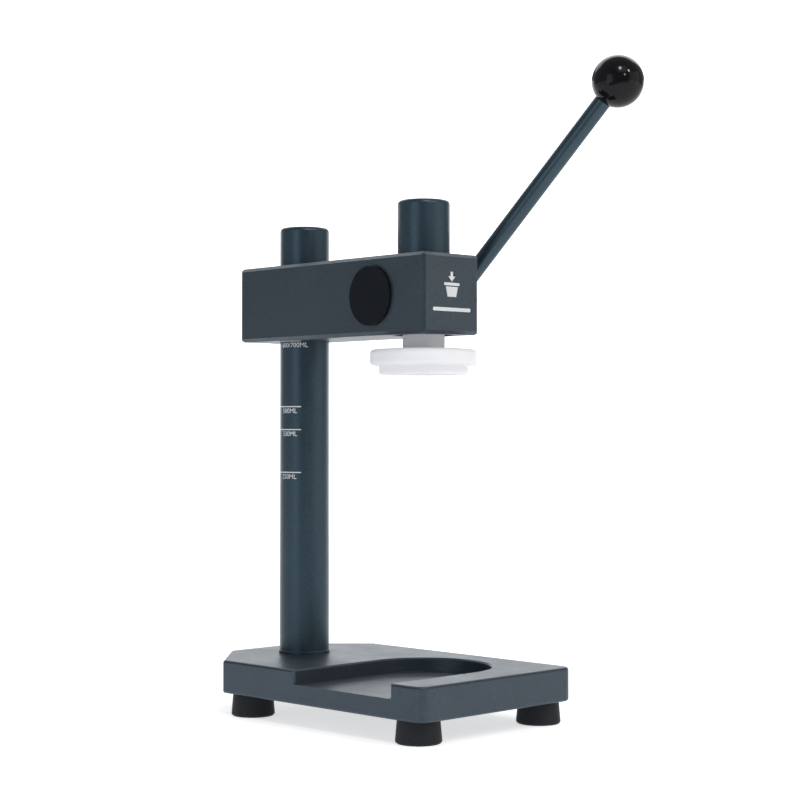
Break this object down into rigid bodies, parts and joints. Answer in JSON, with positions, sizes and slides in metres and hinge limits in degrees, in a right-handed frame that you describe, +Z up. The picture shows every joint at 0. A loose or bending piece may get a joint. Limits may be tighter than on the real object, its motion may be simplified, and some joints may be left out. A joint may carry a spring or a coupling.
{
  "type": "cup sealing machine",
  "caption": "Hand-lever cup sealing press: flat base with a side-open cup pocket, round column, height-adjustable head block, rack-driven ram with a round press head, ball lever.",
  "frame": {"origin": "point where the press axis meets the flat floor of the cup pocket, with the head at its rest height", "axes": "+Z up along the press axis, -Y towards the front, +X towards the lever side (the operator's right)"},
  "size_m": [0.1838, 0.2743, 0.4451],
  "materials": {
    "anodised_block": "satin teal-grey anodising",
    "anodised_bar": "satin dark teal anodising",
    "zinc_steel": "zinc plated",
    "black_steel": "blackened steel",
    "bearing_bronze": "sintered bronze",
    "black_plastic": "gloss black",
    "cap_plastic": "satin black",
    "foot_rubber": "matt black",
    "white_plastic": "turned white plastic"
  },
  "bodies": {
    "base": {"base_plate": "anodised_block", "feet": "foot_rubber", "foot_screws": "zinc_steel", "foot_washers": "zinc_steel"},
    "column": {"column": "anodised_bar", "column_collar": "anodised_bar", "column_bolt": "zinc_steel", "column_washer": "zinc_steel"},
    "head": {"head_block": "anodised_block", "ram_bushes": "cap_plastic", "guide_screw": "black_steel", "clamp_screws": "black_steel", "clamp_washers": "zinc_steel", "pinion_carrier": "bearing_bronze", "pinion_bush": "bearing_bronze", "return_spring": "black_steel", "spring_anchor": "zinc_steel", "side_cap": "cap_plastic"},
    "ram": {"ram": "anodised_bar", "press_head": "white_plastic", "press_screw": "zinc_steel", "press_washer": "zinc_steel"},
    "lever": {"pinion_shaft": "zinc_steel", "lever_hub": "black_steel", "hub_pin": "zinc_steel", "hub_screw": "zinc_steel", "hub_washer": "zinc_steel", "lever_rod": "black_steel", "rod_nut": "black_steel", "ball_insert": "bearing_bronze", "ball_knob": "black_plastic"}
  },
  "joints": [
    {"name": "head_swing", "type": "hinge", "parent": "base", "child": "column", "pos_m": [0, 0.1245, 0], "axis": [0, 0, 1], "continuous": true},
    {"name": "head_height", "type": "slide", "parent": "column", "child": "head", "axis": [0, 0, 1], "range_m": [-0.095, 0.025]},
    {"name": "lever_turn", "type": "hinge", "parent": "head", "child": "lever", "pos_m": [0, 0.024, 0.257], "axis": [1, 0, 0], "range_deg": [0, 105], "stiffness_Nm_per_rad": 0.15, "springref_deg": -143.24},
    {"name": "ram_slide", "type": "slide", "parent": "head", "child": "ram", "axis": [0, 0, -1], "range_m": [0, 0.0229]}
  ],
  "couplings": [
    {"joint": "ram_slide", "follows": "lever_turn", "m_per_rad": 0.0125}
  ]
}
